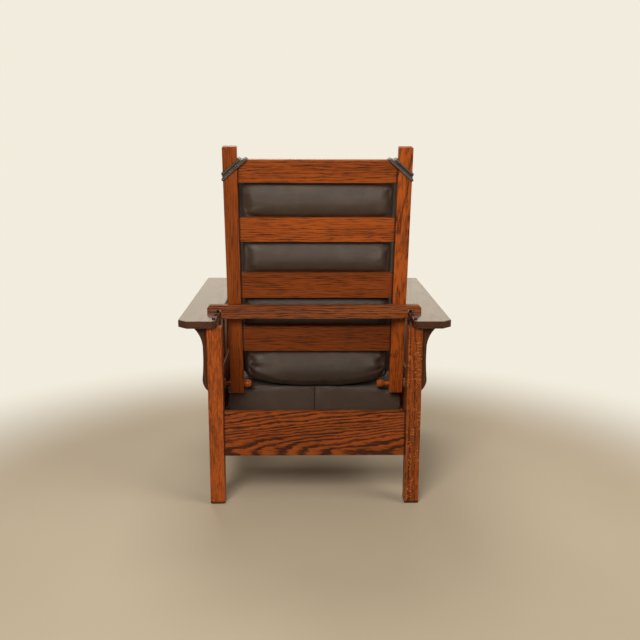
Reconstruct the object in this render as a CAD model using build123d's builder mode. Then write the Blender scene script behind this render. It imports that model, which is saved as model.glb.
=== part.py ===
from build123d import *
from math import cos, radians, sin, tan
import os

# Mission reclining armchair, millimetres.
# Z is up, the sitter faces -Y and the sitter's left hand is on +X. The origin lies on the floor
# under the middle of the arms.

# Arms
arm_length = 830
arm_top = 578
arm_thick = 22
arm_inner = 292
arm_rear_width = 112
arm_front_width = 118
arm_rear_clip = 27
arm_front_clip = 5
arm_inner_clip = 10
arm_arris = 1.5
arm_rear_overhang = 12
arm_front_overhang = 25

# Legs
leg_size = 44
leg_outer = 320
leg_arris = 1.5
foot_chamfer = 4
leg_tenon_width = 16
leg_tenon_depth = 24
leg_tenon_height = 10
leg_tenon_set_in = 6

# Rails
rail_thick = 19
rail_bottom = 156
rail_height = 140
rail_set_in = 5
side_rail_bottom = 168
side_rail_top = 374
side_rail_set_in = 2
rail_arris = 1
tenon_thick = 9
tenon_length = 22
tenon_shoulder = 12

# Side slats
side_slat_count = 5
side_slat_width = 64
side_slat_thick = 12
side_slat_stub = 8

# Corbels
corbel_reach = 42
corbel_drop = 197
corbel_thick = 20
corbel_upper_shares = [(1, 0), (0.476, 0.157), (0.314, 0.34)]
corbel_waist_shares = [(0.314, 0.34), (0.306, 0.53), (0.38, 0.79)]
corbel_lower_shares = [(0.38, 0.79), (0.298, 0.914), (0, 1)]

# Reclining back
back_shift = -8
back_recline = 9.6
back_recline_full = 31
stile_width = 42
stile_thick = 28
stile_length = 795
stile_chamfer = 3
back_slat_thick = 18
back_slat_set_in = 5
back_slat_tenon = 20
back_slat_widths = [83, 80, 74, 68]
back_slat_low = 147
back_slat_top_drop = 106
back_arris = 1

# Back pivots
pivot_from_rear = 218
pivot_height = 323
pivot_up_stile = 28
peg_radius = 6.35
peg_fit = 0.06
peg_engage = 14
peg_head_radius = 13
peg_head_length = 24
peg_neck_radius = 8.5
peg_tip_chamfer = 1
washer_radius = 17
washer_thick = 10
washer_play = 2

# Recline bar and its locating buttons
bar_depth = 26
bar_over_legs = 0.5
tongue_height = 20.5
bar_on_arm = 40
bar_side_clearance = 1.5
bar_end_chamfer = 8
bar_arris = 1
bar_rest_gap = 0.3
button_radius = 5.5
button_height = 4
button_sunk = 8
button_from_edge = 8
button_fit = 0.05
button_dome = 1
rebate_width = 17
rebate_height = 5.5
button_rows = 3

# Seat deck
seat_slope = 7.6
deck_from_rear = 268
deck_rear_height = 207
deck_front_gap = 3
cleat_size = 20
cleat_end_gap = 6
seat_slat_count = 7
seat_slat_gap = 14
seat_slat_thick = 15
deck_fit = 0.4
screw_head_radius = 4
screw_shank_radius = 2
screw_head_height = 3
cleat_screw_count = 5

# Seat cushion
seat_cushion_edge = 88
seat_cushion_crown = 22
seat_cushion_side_gap = 9
seat_cushion_bulge = 4
seat_nose_overlap = 24
seat_nose_rise = 3
seat_nose_edge_share = 0.94
seat_nose_crown_share = 0.45
seat_nose_front_gap = 3
seat_nose_side_gap = 3
seat_rest_gap = 0.4
seat_station_shares = [0, 0.06, 0.5, 0.94, 1]
seat_width_shares = [0.985, 1, 0.985, 1, 0.99]
seat_crown_shares = [1.5, 1.3, 1, 0.75, 0.55]
seat_edge_shares = [0.77, 0.88, 1, 1, 0.97]
seat_shoulder_shares = [(0.87, 0.5), (0.62, 0.86)]

# Back cushion
back_cushion_inset = 24
back_cushion_thick = 104
back_cushion_below_top = 67
back_cushion_crown = 20
back_cushion_bulge = 13
back_cushion_tail_bulge = 19
back_cushion_end_arc = 8
back_cushion_low = 12
back_cushion_corner_lift = 46
back_cushion_front_low = 26
back_cushion_front_lift = 22
back_cushion_top_drop = 12
cushion_slat_gap = 0.3
cushion_press = 1.5
back_station_shares = [-1, -0.87, -0.7, -0.4, 0, 0.4, 0.7, 0.87, 1]
rear_set_shares = [0.42, 0.04, 0, 0, 0, 0, 0, 0.04, 0.42]
front_set_shares = [0.84, 0.92, 0.97, 0.99, 1, 0.99, 0.97, 0.92, 0.84]
crown_shares = [0.1, 0.45, 0.7, 0.92, 1, 0.92, 0.7, 0.45, 0.1]
bulge_shares = [0.08, 0.5, 0.85, 0.97, 1, 0.97, 0.85, 0.5, 0.08]
lift_shares = [1, 0.68, 0.4, 0.08, 0, 0.08, 0.4, 0.68, 1]
top_drop_shares = [0.9, 0.3, 0.1, 0, 0, 0, 0.1, 0.3, 0.9]

# Cushion straps
strap_width = 20
strap_thick = 3
strap_gap = 0.4
strap_slant = 41

overrun = 5

# Places that follow from the sizes
arm_bottom = arm_top - arm_thick
arm_rear_y = arm_length / 2
arm_front_y = -arm_length / 2
leg_half = leg_size / 2
leg_x = leg_outer - leg_half
leg_inner = leg_outer - leg_size
rear_leg_y = arm_rear_y - arm_rear_overhang - leg_half
front_leg_y = arm_front_y + arm_front_overhang + leg_half
rear_rail_y = rear_leg_y + leg_half - rail_set_in - rail_thick / 2
front_rail_y = front_leg_y - leg_half + rail_set_in + rail_thick / 2
rail_top = rail_bottom + rail_height
side_rail_x = leg_outer - side_rail_set_in - rail_thick / 2
side_rail_inner = side_rail_x - rail_thick / 2
side_rail_height = side_rail_top - side_rail_bottom
leg_tenon_x = arm_inner + leg_tenon_set_in + leg_tenon_width / 2
between_legs_x = 2 * leg_inner
between_legs_y = rear_leg_y - front_leg_y - leg_size
legs_middle_y = (rear_leg_y + front_leg_y) / 2
pivot_y = arm_rear_y - arm_rear_overhang - pivot_from_rear
recline = radians(back_recline)
up_back = Vector(0, sin(recline), cos(recline))
out_of_back = Vector(0, -cos(recline), sin(recline))
pivot = Vector(0, pivot_y, pivot_height)
back_origin = (
    pivot + Vector(back_shift, 0, 0) - up_back * pivot_up_stile - out_of_back * (stile_thick / 2)
)
back_plane = Plane(back_origin, x_dir=(1, 0, 0), z_dir=out_of_back)
back_width = 2 * (side_rail_inner - washer_thick - washer_play - abs(back_shift))
stile_x = back_width / 2 - stile_width / 2
stile_inner = back_width / 2 - stile_width
back_slat_rise = stile_length - back_slat_top_drop - back_slat_low
back_slat_bottoms = [
    back_slat_low + back_slat_rise * row / (len(back_slat_widths) - 1)
    for row, _ in enumerate(back_slat_widths)
]
slope = radians(seat_slope)
deck_rear_y = arm_rear_y - deck_from_rear
deck_length = (deck_rear_y - front_leg_y - leg_half - deck_front_gap) / cos(slope)
seat_slat_width = (deck_length - (seat_slat_count - 1) * seat_slat_gap) / seat_slat_count
nose_end = (deck_rear_y - front_rail_y - rail_thick / 2 - seat_nose_front_gap) / cos(slope)
seat_plane = Plane(
    (0, deck_rear_y, deck_rear_height), x_dir=(-1, 0, 0), z_dir=(0, sin(slope), cos(slope))
)
sides = {"left": 1, "right": -1}


def rear_face_y(angle, height):
    """Y of the back's rear face at a height, when the back leans by angle from upright."""
    lean = radians(angle)
    half = stile_thick / 2
    return pivot_y + half * cos(lean) + (height - pivot_height + half * sin(lean)) * tan(lean)


bar_top = arm_top + tongue_height
bar_bottom = arm_bottom + bar_over_legs
bar_half_length = arm_inner + bar_on_arm
bar_front_y = rear_face_y(back_recline, bar_top) + bar_rest_gap
bar_y = bar_front_y + bar_depth / 2
bar_travel = rear_face_y(back_recline_full, bar_top) - rear_face_y(back_recline, bar_top)
button_x = arm_inner + button_from_edge
button_pitch = bar_travel / (button_rows - 1)
button_places = [bar_y + row * button_pitch for row in range(button_rows)]

os.makedirs("parts", exist_ok=True)


def save(piece, name):
    """Label a finished piece and write its STEP file."""
    piece.part.label = name
    export_step(piece.part, f"parts/{name}.step")


def side_slat_places():
    """Y of each side slat, spaced evenly between the front and rear legs."""
    gap = (between_legs_y - side_slat_count * side_slat_width) / (side_slat_count + 1)
    first = front_leg_y + leg_half + gap + side_slat_width / 2
    return [first + i * (gap + side_slat_width) for i in range(side_slat_count)]


# Legs: square posts with a stub tenon up into the arm and mortises for the two rails
def make_leg(side, leg_y, end_rail_y, toward_middle):
    with BuildPart() as leg:
        with BuildSketch():
            with Locations((side * leg_x, leg_y)):
                Rectangle(leg_size, leg_size)
        extrude(amount=arm_bottom)
        chamfer(leg.faces().sort_by(Axis.Z)[0].edges(), foot_chamfer)
        chamfer(leg.edges().filter_by(Axis.Z), leg_arris)
        with BuildSketch(Plane.XY.offset(arm_bottom)):
            with Locations((side * leg_tenon_x, leg_y)):
                Rectangle(leg_tenon_width, leg_tenon_depth)
        extrude(amount=leg_tenon_height)
        mortise_x = side * (leg_inner + tenon_length / 2)
        with Locations((mortise_x, end_rail_y, rail_bottom + rail_height / 2)):
            Box(tenon_length, tenon_thick, rail_height - 2 * tenon_shoulder, mode=Mode.SUBTRACT)
        side_mortise_y = leg_y + toward_middle * (leg_half - tenon_length / 2)
        with Locations((side * side_rail_x, side_mortise_y, side_rail_bottom + side_rail_height / 2)):
            Box(tenon_thick, tenon_length, side_rail_height - 2 * tenon_shoulder, mode=Mode.SUBTRACT)
    return leg


for side_name, side in sides.items():
    save(make_leg(side, rear_leg_y, rear_rail_y, -1), f"rear_leg_{side_name}")
    save(make_leg(side, front_leg_y, front_rail_y, 1), f"front_leg_{side_name}")


# Front and rear rails, tenoned into the legs
for rail_name, rail_y in (("rear_rail", rear_rail_y), ("front_rail", front_rail_y)):
    with BuildPart() as rail:
        with Locations((0, rail_y, rail_bottom + rail_height / 2)):
            Box(between_legs_x, rail_thick, rail_height)
        chamfer(rail.edges().filter_by(Axis.X), rail_arris)
        with Locations((0, rail_y, rail_bottom + rail_height / 2)):
            Box(between_legs_x + 2 * tenon_length, tenon_thick, rail_height - 2 * tenon_shoulder)
    save(rail, rail_name)


# Side rails, with tenons, a mortise for each slat and a blind hole for the pivot peg
for side_name, side in sides.items():
    with BuildPart() as side_rail:
        rail_middle = (side * side_rail_x, legs_middle_y, side_rail_bottom + side_rail_height / 2)
        with Locations(rail_middle):
            Box(rail_thick, between_legs_y, side_rail_height)
        chamfer(side_rail.edges().filter_by(Axis.Y), rail_arris)
        with Locations(rail_middle):
            Box(tenon_thick, between_legs_y + 2 * tenon_length, side_rail_height - 2 * tenon_shoulder)
        with BuildSketch(Plane.XY.offset(side_rail_top)):
            with Locations(*[(side * side_rail_x, y) for y in side_slat_places()]):
                Rectangle(side_slat_thick, side_slat_width)
        extrude(amount=-side_slat_stub, mode=Mode.SUBTRACT)
        peg_wall = Plane(
            (side * side_rail_inner, pivot_y, pivot_height), x_dir=(0, 1, 0), z_dir=(side, 0, 0)
        )
        with BuildSketch(peg_wall):
            Circle(peg_radius + peg_fit)
        extrude(amount=peg_engage + peg_fit, mode=Mode.SUBTRACT)
    save(side_rail, f"side_rail_{side_name}")


# Side slats, stub-tenoned into the side rail and the underside of the arm
for side_name, side in sides.items():
    for number, slat_y in enumerate(side_slat_places(), 1):
        with BuildPart() as side_slat:
            with BuildSketch(Plane.XY.offset(side_rail_top - side_slat_stub)):
                with Locations((side * side_rail_x, slat_y)):
                    Rectangle(side_slat_thick, side_slat_width)
            extrude(amount=arm_bottom - side_rail_top + 2 * side_slat_stub)
        save(side_slat, f"side_slat_{side_name}_{number}")


# Arms: flat boards, wider at the front, with clipped corners and holes for the locating buttons
def arm_outline(side):
    outer_rear = arm_inner + arm_rear_width
    outer_front = arm_inner + arm_front_width
    return [
        (side * (arm_inner + arm_inner_clip), arm_rear_y),
        (side * (outer_rear - arm_rear_clip), arm_rear_y),
        (side * outer_rear, arm_rear_y - arm_rear_clip),
        (side * outer_front, arm_front_y + arm_front_clip),
        (side * (outer_front - arm_front_clip), arm_front_y),
        (side * (arm_inner + arm_front_clip), arm_front_y),
        (side * arm_inner, arm_front_y + arm_front_clip),
        (side * arm_inner, arm_rear_y - arm_inner_clip),
    ]


for side_name, side in sides.items():
    with BuildPart() as arm:
        with BuildSketch(Plane.XY.offset(arm_bottom)):
            with BuildLine():
                Polyline(*arm_outline(side), close=True)
            make_face()
        extrude(amount=arm_thick)
        chamfer(arm.faces().sort_by(Axis.Z)[-1].edges(), arm_arris)
        chamfer(arm.faces().sort_by(Axis.Z)[0].edges(), arm_arris)
        with BuildSketch(Plane.XY.offset(arm_bottom)):
            with Locations((side * leg_tenon_x, rear_leg_y), (side * leg_tenon_x, front_leg_y)):
                Rectangle(leg_tenon_width, leg_tenon_depth)
        extrude(amount=leg_tenon_height, mode=Mode.SUBTRACT)
        with BuildSketch(Plane.XY.offset(arm_bottom)):
            with Locations(*[(side * side_rail_x, y) for y in side_slat_places()]):
                Rectangle(side_slat_thick, side_slat_width)
        extrude(amount=side_slat_stub, mode=Mode.SUBTRACT)
        with BuildSketch(Plane.XY.offset(arm_top)):
            with Locations(*[(side * button_x, y) for y in button_places]):
                Circle(button_radius + button_fit)
        extrude(amount=-button_sunk, mode=Mode.SUBTRACT)
    save(arm, f"arm_{side_name}")

    with BuildPart() as buttons:
        with BuildSketch(Plane.XY.offset(arm_top - button_sunk)):
            with Locations(*[(side * button_x, y) for y in button_places]):
                Circle(button_radius)
        extrude(amount=button_sunk + button_height)
        chamfer(buttons.faces().filter_by(Axis.Z).group_by(Axis.Z)[-1].edges(), button_dome)
    save(buttons, f"arm_buttons_{side_name}")


# Corbels: curved brackets on the outer face of each leg, under the arm
def make_corbel(side, leg_y):
    def place(share):
        return (side * (leg_outer + corbel_reach * share[0]), arm_bottom - corbel_drop * share[1])

    with BuildPart() as corbel:
        with BuildSketch(Plane.XZ.offset(-leg_y)):
            with BuildLine():
                ThreePointArc(*[place(share) for share in corbel_upper_shares])
                ThreePointArc(*[place(share) for share in corbel_waist_shares])
                ThreePointArc(*[place(share) for share in corbel_lower_shares])
                Polyline(place((0, 1)), place((0, 0)), place((1, 0)))
            make_face()
        extrude(amount=corbel_thick / 2, both=True)
    return corbel


for side_name, side in sides.items():
    save(make_corbel(side, rear_leg_y), f"rear_corbel_{side_name}")
    save(make_corbel(side, front_leg_y), f"front_corbel_{side_name}")


# Back frame: two stiles with four slats tenoned between them, leaning by the recline angle
for side_name, side in sides.items():
    with BuildPart() as stile:
        with BuildSketch(back_plane):
            with Locations((side * stile_x, stile_length / 2)):
                Rectangle(stile_width, stile_length)
        extrude(amount=stile_thick)
        chamfer(stile.faces().sort_by(Axis.Z)[-1].edges(), stile_chamfer)
        chamfer(stile.faces().sort_by(Axis.Z)[0].edges(), back_arris)
        tenon_middle = back_slat_set_in + back_slat_thick / 2
        with BuildSketch(back_plane.offset(tenon_middle)):
            for low, width in zip(back_slat_bottoms, back_slat_widths):
                with Locations((side * (stile_inner + back_slat_tenon / 2), low + width / 2)):
                    Rectangle(back_slat_tenon, width - 2 * tenon_shoulder)
        extrude(amount=tenon_thick / 2, both=True, mode=Mode.SUBTRACT)
        peg_axis = Plane(
            (back_shift + side * stile_x, pivot_y, pivot_height), x_dir=(0, 1, 0), z_dir=(side, 0, 0)
        )
        with BuildSketch(peg_axis):
            Circle(peg_radius + peg_fit)
        extrude(amount=stile_width / 2 + overrun, both=True, mode=Mode.SUBTRACT)
    save(stile, f"back_stile_{side_name}")

for number, (low, width) in enumerate(zip(back_slat_bottoms, back_slat_widths), 1):
    with BuildPart() as back_slat:
        with BuildSketch(back_plane.offset(back_slat_set_in)):
            with Locations((0, low + width / 2)):
                Rectangle(2 * stile_inner, width)
        extrude(amount=back_slat_thick)
        chamfer(back_slat.edges().filter_by(Axis.X), back_arris)
        with BuildSketch(back_plane.offset(back_slat_set_in + back_slat_thick / 2)):
            with Locations((0, low + width / 2)):
                Rectangle(2 * (stile_inner + back_slat_tenon), width - 2 * tenon_shoulder)
        extrude(amount=tenon_thick / 2, both=True)
    save(back_slat, f"back_slat_{number}")


# Pivot pegs: turned, with a knob on the inner end, pushed through the stile into the side rail.
# Both pegs are the same length, so the knob on the side that the back is shifted to stands off.
peg_reach = stile_width + (side_rail_inner - back_width / 2 - back_shift) + peg_engage
for side_name, side in sides.items():
    with BuildPart() as peg:
        tip = side_rail_inner + peg_engage
        knob_face = tip - peg_reach - peg_fit
        knob_end = knob_face - peg_head_length
        with BuildSketch(Plane((0, pivot_y, pivot_height), x_dir=(side, 0, 0), z_dir=(0, side, 0))):
            with BuildLine():
                Polyline(
                    (knob_end, 0),
                    (tip, 0),
                    (tip, peg_radius - peg_tip_chamfer),
                    (tip - peg_tip_chamfer, peg_radius),
                    (knob_face, peg_radius),
                    (knob_face, peg_neck_radius),
                )
                knob_middle = (knob_face + knob_end) / 2
                ThreePointArc(
                    (knob_face, peg_neck_radius),
                    (knob_middle, peg_head_radius),
                    (knob_end, peg_neck_radius),
                )
                Line((knob_end, peg_neck_radius), (knob_end, 0))
            make_face()
        revolve(axis=Axis((0, pivot_y, pivot_height), (1, 0, 0)))
    save(peg, f"pivot_peg_{side_name}")

    with BuildPart() as washer:
        against_rail = Plane(
            (side * side_rail_inner, pivot_y, pivot_height), x_dir=(0, 1, 0), z_dir=(-side, 0, 0)
        )
        with BuildSketch(against_rail):
            Circle(washer_radius)
            Circle(peg_radius + peg_fit, mode=Mode.SUBTRACT)
        extrude(amount=washer_thick)
        chamfer(washer.edges().filter_by(GeomType.CIRCLE).sort_by(Edge.length)[-2:], peg_tip_chamfer)
    save(washer, f"pivot_washer_{side_name}")


# Recline bar: full depth between the arms, thinner tongues on the arm tops, rebated over the buttons
with BuildPart() as bar:
    shoulder = arm_inner - bar_side_clearance
    with BuildSketch(Plane.XZ.offset(-bar_y)):
        with BuildLine():
            Polyline(
                (-shoulder, bar_bottom),
                (shoulder, bar_bottom),
                (shoulder, arm_top + rebate_height),
                (shoulder + rebate_width, arm_top + rebate_height),
                (shoulder + rebate_width, arm_top),
                (bar_half_length, arm_top),
                (bar_half_length, bar_top - bar_end_chamfer),
                (bar_half_length - bar_end_chamfer, bar_top),
                (bar_end_chamfer - bar_half_length, bar_top),
                (-bar_half_length, bar_top - bar_end_chamfer),
                (-bar_half_length, arm_top),
                (-shoulder - rebate_width, arm_top),
                (-shoulder - rebate_width, arm_top + rebate_height),
                (-shoulder, arm_top + rebate_height),
                close=True,
            )
        make_face()
    extrude(amount=bar_depth / 2, both=True)
    chamfer(bar.faces().filter_by(Axis.Z).sort_by(Axis.Z)[-1].edges().filter_by(Axis.X), bar_arris)
save(bar, "recline_bar")


# Seat deck: cleats screwed to the side rails carry loose slats, sloping down to the rear
cleat_length = deck_length - 2 * cleat_end_gap
screw_pitch = cleat_length / cleat_screw_count
screw_places = [
    seat_plane.from_local_coords(
        Vector(0, cleat_end_gap + screw_pitch * (i + 0.5), -seat_slat_thick - cleat_size / 2)
    )
    for i in range(cleat_screw_count)
]
for side_name, side in sides.items():
    cleat_inner = side_rail_inner - cleat_size
    cleat_face = Plane((side * cleat_inner, 0, 0), x_dir=(0, 1, 0), z_dir=(side, 0, 0))
    screw_spots = [(place.Y, side * place.Z) for place in screw_places]
    with BuildPart() as cleat:
        with BuildSketch(seat_plane.offset(-seat_slat_thick)):
            with Locations((-side * (side_rail_inner - cleat_size / 2), deck_length / 2)):
                Rectangle(cleat_size, cleat_length)
        extrude(amount=-cleat_size)
        with BuildSketch(cleat_face):
            with Locations(*screw_spots):
                Circle(screw_head_radius)
        extrude(amount=screw_head_height, mode=Mode.SUBTRACT)
        with BuildSketch(cleat_face):
            with Locations(*screw_spots):
                Circle(screw_shank_radius)
        extrude(amount=cleat_size, mode=Mode.SUBTRACT)
    save(cleat, f"seat_cleat_{side_name}")

    with BuildPart() as screws:
        with BuildSketch(cleat_face):
            with Locations(*screw_spots):
                Circle(screw_head_radius - button_fit)
        extrude(amount=screw_head_height)
        with BuildSketch(cleat_face):
            with Locations(*screw_spots):
                Circle(screw_shank_radius - button_fit)
        extrude(amount=cleat_size)
    save(screws, f"cleat_screws_{side_name}")

for number in range(1, seat_slat_count + 1):
    with BuildPart() as seat_slat:
        with BuildSketch(seat_plane):
            slat_middle = seat_slat_width / 2 + (number - 1) * (seat_slat_width + seat_slat_gap)
            with Locations((0, slat_middle)):
                Rectangle(2 * (side_rail_inner - deck_fit), seat_slat_width)
        extrude(amount=-seat_slat_thick)
        chamfer(seat_slat.edges().filter_by(Axis.X), rail_arris)
    save(seat_slat, f"seat_slat_{number}")


# Seat cushion: boxed, crowned and drawn in at its middle, with a nose between the front legs
def seat_section(station, half_width, low, edge, crown):
    """One cross-section of the seat cushion: flat below, and arcs that meet at the welted corners."""
    station_point = seat_plane.from_local_coords(Vector(0, station, seat_rest_gap))
    section_plane = Plane(station_point, x_dir=(-1, 0, 0), z_dir=-seat_plane.y_dir)
    with BuildSketch(section_plane) as section:
        with BuildLine():
            bulged = half_width + seat_cushion_bulge
            Line((-half_width, low), (half_width, low))
            ThreePointArc((half_width, low), (bulged, edge / 2), (half_width, edge))
            shoulder = [(half_width * out, edge + crown * up) for out, up in seat_shoulder_shares]
            other_shoulder = [(-across, height) for across, height in reversed(shoulder)]
            ThreePointArc((half_width, edge), *shoulder)
            ThreePointArc(shoulder[-1], (0, edge + crown), other_shoulder[0])
            ThreePointArc(*other_shoulder, (-half_width, edge))
            ThreePointArc((-half_width, edge), (-bulged, edge / 2), (-half_width, low))
        make_face()
    return section.sketch


seat_half = side_rail_inner - seat_cushion_side_gap
seat_sections = [
    seat_section(
        deck_length * station,
        seat_half * width,
        0,
        seat_cushion_edge * edge,
        seat_cushion_crown * crown,
    )
    for station, width, crown, edge in zip(
        seat_station_shares, seat_width_shares, seat_crown_shares, seat_edge_shares
    )
]
nose_half = leg_inner - seat_nose_side_gap - seat_cushion_bulge
nose_edge = seat_cushion_edge * seat_nose_edge_share
nose_crown = seat_cushion_crown * seat_nose_crown_share
nose_sections = [
    seat_section(station, nose_half, seat_nose_rise, nose_edge, nose_crown)
    for station in (deck_length - seat_nose_overlap, nose_end)
]
with BuildPart() as seat_cushion:
    loft(seat_sections)
    loft(nose_sections)
save(seat_cushion, "seat_cushion")


# Back cushion: pressed flat on the slats, bulging back between them, crowned in front, with rounded
# lower corners
back_cushion_width = back_width - 2 * back_cushion_inset
slat_plane_depth = back_slat_set_in + back_slat_thick + cushion_slat_gap


def back_section(across, rear_set, front_set, crown, bulge, tail, low, front_low, high):
    """One section of the back cushion across the chair, with a rear arc in each gap between slats."""
    rear = slat_plane_depth - cushion_press + back_cushion_thick * rear_set
    front = slat_plane_depth + back_cushion_thick * front_set
    half_way = (rear + front) / 2
    section_plane = Plane(
        back_plane.from_local_coords(Vector(across, 0, 0)), x_dir=back_plane.y_dir, z_dir=(1, 0, 0)
    )
    gap_lows = [low] + [b + w for b, w in zip(back_slat_bottoms, back_slat_widths)][:-1]
    gap_highs = back_slat_bottoms
    gap_bulges = [tail] + [bulge for _ in back_slat_bottoms[1:]]
    tail_middle = (low + front_low) / 2 - back_cushion_end_arc / 2

    with BuildSketch(section_plane) as section:
        with BuildLine():
            for gap_low, gap_high, gap_bulge in zip(gap_lows, gap_highs, gap_bulges):
                middle = (gap_low + gap_high) / 2
                ThreePointArc((gap_low, rear), (middle, rear - gap_bulge), (gap_high, rear))
            for slat_low, slat_high in zip(gap_highs, gap_lows[1:] + [high]):
                Line((slat_low, rear), (slat_high, rear))
            ThreePointArc((high, rear), (high + back_cushion_end_arc, half_way), (high, front))
            ThreePointArc((high, front), ((low + high) / 2, front + crown), (front_low, front))
            ThreePointArc((front_low, front), (tail_middle, half_way), (low, rear))
        make_face()
    return section.sketch


back_sections = [
    back_section(
        back_cushion_width / 2 * station,
        rear_set,
        front_set,
        back_cushion_crown * crown,
        back_cushion_bulge * bulge,
        back_cushion_tail_bulge * bulge,
        back_cushion_low + back_cushion_corner_lift * lift,
        back_cushion_front_low + back_cushion_front_lift * lift,
        stile_length - back_cushion_below_top - back_cushion_top_drop * drop,
    )
    for station, rear_set, front_set, crown, bulge, lift, drop in zip(
        back_station_shares, rear_set_shares, front_set_shares, crown_shares, bulge_shares,
        lift_shares, top_drop_shares
    )
]
with BuildPart() as back_cushion:
    loft(back_sections)
    with BuildSketch(back_plane.offset(slat_plane_depth)):
        for low, width in zip(back_slat_bottoms, back_slat_widths):
            with Locations((0, low + width / 2)):
                Rectangle(back_cushion_width, width + 2 * cushion_slat_gap)
    extrude(amount=-stile_thick, mode=Mode.SUBTRACT)
    strap_room = strap_gap + strap_thick + cushion_slat_gap
    with BuildSketch(back_plane.offset(stile_thick + strap_room)):
        with Locations((stile_x, stile_length / 2), (-stile_x, stile_length / 2)):
            Rectangle(stile_width + 2 * cushion_slat_gap, stile_length)
    extrude(amount=-stile_thick, mode=Mode.SUBTRACT)
save(back_cushion, "back_cushion")


# Straps: flat leather loops laid over the top slat, down across the stile and round its outer edge,
# which hold the back cushion's top corners
strap_tilt = radians(strap_slant)
strap_tall = strap_width / cos(strap_tilt)
strap_wide = strap_width / sin(strap_tilt)
strap_outer = back_width / 2 + strap_gap
strap_inner = stile_inner - strap_gap - strap_wide
strap_high = back_slat_bottoms[-1] + back_slat_widths[-1] + strap_gap
strap_low = strap_high - (strap_outer - strap_inner) * tan(strap_tilt)
strap_behind = strap_gap + strap_thick
for side_name, side in sides.items():
    with BuildPart() as strap:
        for depth in (-strap_behind, stile_thick + strap_gap):
            with BuildSketch(back_plane.offset(depth)):
                with BuildLine():
                    Polyline(
                        (side * strap_outer, strap_low),
                        (side * strap_inner, strap_high),
                        (side * (strap_inner + strap_wide), strap_high),
                        (side * strap_outer, strap_low + strap_tall),
                        close=True,
                    )
                make_face()
            extrude(amount=strap_thick)
        with BuildSketch(back_plane.offset(-strap_behind)):
            with Locations((side * (strap_outer + strap_thick / 2), strap_low + strap_tall / 2)):
                Rectangle(strap_thick, strap_tall)
            with Locations((side * (strap_inner + strap_wide / 2), strap_high + strap_thick / 2)):
                Rectangle(strap_wide, strap_thick)
        extrude(amount=stile_thick + 2 * strap_behind)
    save(strap, f"cushion_strap_{side_name}")
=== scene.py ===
import bpy
import bmesh
import math
from mathutils import Matrix, Vector, noise
from mathutils.bvhtree import BVHTree
from mathutils.interpolate import poly_3d_calc
from mathutils.kdtree import KDTree


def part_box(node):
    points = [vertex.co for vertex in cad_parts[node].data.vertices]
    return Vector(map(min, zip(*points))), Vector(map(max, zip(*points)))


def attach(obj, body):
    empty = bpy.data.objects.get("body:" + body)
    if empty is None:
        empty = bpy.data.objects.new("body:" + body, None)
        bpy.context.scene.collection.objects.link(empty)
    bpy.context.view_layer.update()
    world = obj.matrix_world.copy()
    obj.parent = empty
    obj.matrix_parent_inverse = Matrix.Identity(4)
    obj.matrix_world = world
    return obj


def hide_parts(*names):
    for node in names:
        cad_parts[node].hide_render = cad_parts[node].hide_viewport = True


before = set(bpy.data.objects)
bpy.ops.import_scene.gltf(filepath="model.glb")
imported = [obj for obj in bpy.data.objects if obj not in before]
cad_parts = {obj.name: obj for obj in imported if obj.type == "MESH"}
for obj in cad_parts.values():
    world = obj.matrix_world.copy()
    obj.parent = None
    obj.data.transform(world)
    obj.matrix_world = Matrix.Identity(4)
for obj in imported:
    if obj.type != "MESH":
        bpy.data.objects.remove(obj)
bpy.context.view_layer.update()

# Camera: behind the chair at about the height of a standing eye, looking slightly down on it,
# with a lens of 45 mm on a full frame.
camera_data = bpy.data.cameras.new("camera")
camera_data.sensor_width = 36
camera_data.lens = 45
camera = bpy.data.objects.new("camera", camera_data)
bpy.context.scene.collection.objects.link(camera)
bpy.context.scene.camera = camera
look_down = math.radians(11.9)
look_heading = math.radians(178.9)
look_roll = math.radians(0.2)
camera_place = (0.0297, 2.7039, 1.065)
aim = Matrix.Rotation(look_heading, 3, "Z") @ Matrix.Rotation(math.pi / 2 - look_down, 3, "X")
camera.rotation_euler = (aim @ Matrix.Rotation(look_roll, 3, "Z")).to_euler()
camera.location = camera_place

# Room: a pale smooth floor, a white surround, and three broad soft lamps, the strongest above
# and behind the camera.
floor_half = 8
floor_corners = [(x * floor_half, y * floor_half, 0) for x, y in ((-1, -1), (1, -1), (1, 1), (-1, 1))]
floor_data = bpy.data.meshes.new("floor")
floor_data.from_pydata(floor_corners, [], [(0, 1, 2, 3)])
floor = bpy.data.objects.new("floor", floor_data)
bpy.context.scene.collection.objects.link(floor)


def new_finish(name):
    """A material and its tree, with a Principled shader joined to its output."""
    material = bpy.data.materials.new(name)
    material.use_nodes = True
    return material, material.node_tree, material.node_tree.nodes["Principled BSDF"]


def put(tree, kind, **settings):
    """A node of that kind in the tree, with its settings."""
    node = tree.nodes.new(kind)
    for setting, value in settings.items():
        setattr(node, setting, value)
    return node


def feed(tree, socket, value):
    """Joins a node's output to the socket, or types the value into it."""
    if isinstance(value, bpy.types.NodeSocket):
        tree.links.new(value, socket)
    else:
        socket.default_value = value


def reckon(tree, operation, *values):
    """The output of a Math node with that operation."""
    node = put(tree, "ShaderNodeMath", operation=operation)
    for socket, value in zip(node.inputs, values):
        feed(tree, socket, value)
    return node.outputs[0]


def fade(tree, value, low, high, at_low=0.0, at_high=1.0):
    """A value eased from at_low to at_high as it goes from low to high."""
    node = put(tree, "ShaderNodeMapRange", interpolation_type="SMOOTHSTEP")
    for socket, number in zip(node.inputs, (value, low, high, at_low, at_high)):
        feed(tree, socket, number)
    return node.outputs["Result"]


def mix_colours(tree, share, first, second, blend="MIX"):
    """Two colours mixed by a share."""
    node = put(tree, "ShaderNodeMix", data_type="RGBA", blend_type=blend)
    feed(tree, node.inputs["Factor"], share)
    feed(tree, node.inputs["A"], first)
    feed(tree, node.inputs["B"], second)
    return node.outputs["Result"]


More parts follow.
